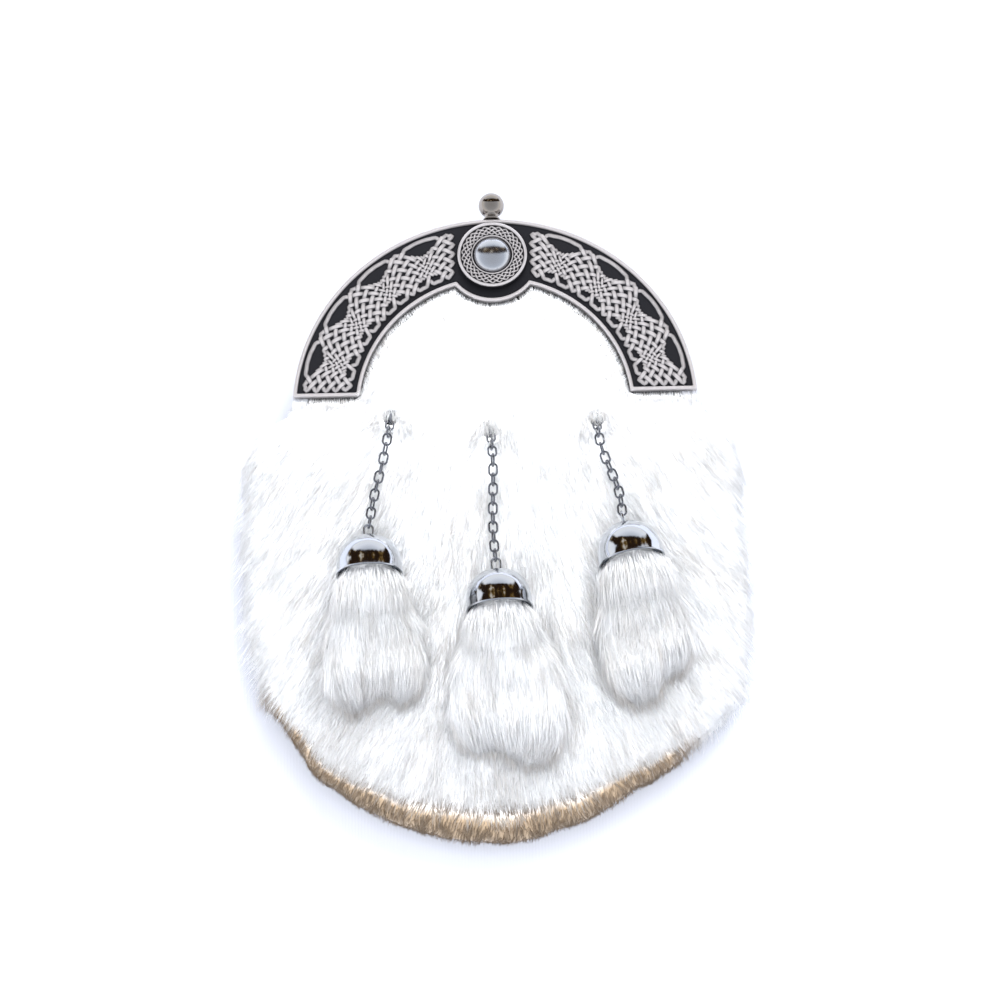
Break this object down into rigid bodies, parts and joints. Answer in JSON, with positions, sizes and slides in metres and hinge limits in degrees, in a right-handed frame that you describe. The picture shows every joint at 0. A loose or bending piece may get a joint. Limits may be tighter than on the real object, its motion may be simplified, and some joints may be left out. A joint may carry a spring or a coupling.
{
  "type": "sporran pouch",
  "caption": "Dress sporran lying on its back: fur pouch, half-round cast metal frame with raised interlace, domed boss, ball, chained bells with fur tassels.",
  "frame": {"origin": "middle of the bounding box in X and Y, on the surface the pouch lies on", "axes": "+X to the picture's right, +Y from the hem up to the metal frame and its ball, +Z from the back to the front of the pouch"},
  "size_m": [0.195, 0.242, 0.0643],
  "materials": {
    "coat": "long soft white fur",
    "tassel": "long soft white fur",
    "hide": "black grained leather",
    "back_leather": "black grained leather",
    "soft_leather": "soft black leather",
    "old_pewter": "cast and darkened, bright on the high parts",
    "polished": "mirror polish",
    "bell_metal": "plated mirror",
    "chain_wire": "plated wire",
    "staple_wire": "plated wire"
  },
  "bodies": {
    "root": {"hide_shell": "hide", "back_panel": "back_leather", "back_flap": "soft_leather", "belt_loop_left": "soft_leather", "belt_loop_right": "soft_leather", "cantle": "old_pewter", "boss_ring": "old_pewter", "boss_dome": "polished", "ball_finial": "polished", "bell_left": "bell_metal", "chain_left_link_01": "chain_wire", "chain_left_link_02": "chain_wire", "chain_left_link_03": "chain_wire", "chain_left_link_04": "chain_wire", "chain_left_link_05": "chain_wire", "chain_left_link_06": "chain_wire", "chain_left_link_07": "chain_wire", "chain_left_link_08": "chain_wire", "chain_left_link_09": "chain_wire", "chain_left_link_10": "chain_wire", "chain_left_link_11": "chain_wire", "chain_left_link_12": "chain_wire", "staple_left": "staple_wire", "tassel_fur_left": "tassel", "bell_centre": "bell_metal", "chain_centre_link_01": "chain_wire", "chain_centre_link_02": "chain_wire", "chain_centre_link_03": "chain_wire", "chain_centre_link_04": "chain_wire", "chain_centre_link_05": "chain_wire", "chain_centre_link_06": "chain_wire", "chain_centre_link_07": "chain_wire", "chain_centre_link_08": "chain_wire", "chain_centre_link_09": "chain_wire", "chain_centre_link_10": "chain_wire", "chain_centre_link_11": "chain_wire", "chain_centre_link_12": "chain_wire", "chain_centre_link_13": "chain_wire", "chain_centre_link_14": "chain_wire", "staple_centre": "staple_wire", "tassel_fur_centre": "tassel", "bell_right": "bell_metal", "chain_right_link_01": "chain_wire", "chain_right_link_02": "chain_wire", "chain_right_link_03": "chain_wire", "chain_right_link_04": "chain_wire", "chain_right_link_05": "chain_wire", "chain_right_link_06": "chain_wire", "chain_right_link_07": "chain_wire", "chain_right_link_08": "chain_wire", "chain_right_link_09": "chain_wire", "chain_right_link_10": "chain_wire", "chain_right_link_11": "chain_wire", "staple_right": "staple_wire", "tassel_fur_right": "tassel", "body_fur": "coat"}
  },
  "joints": []
}
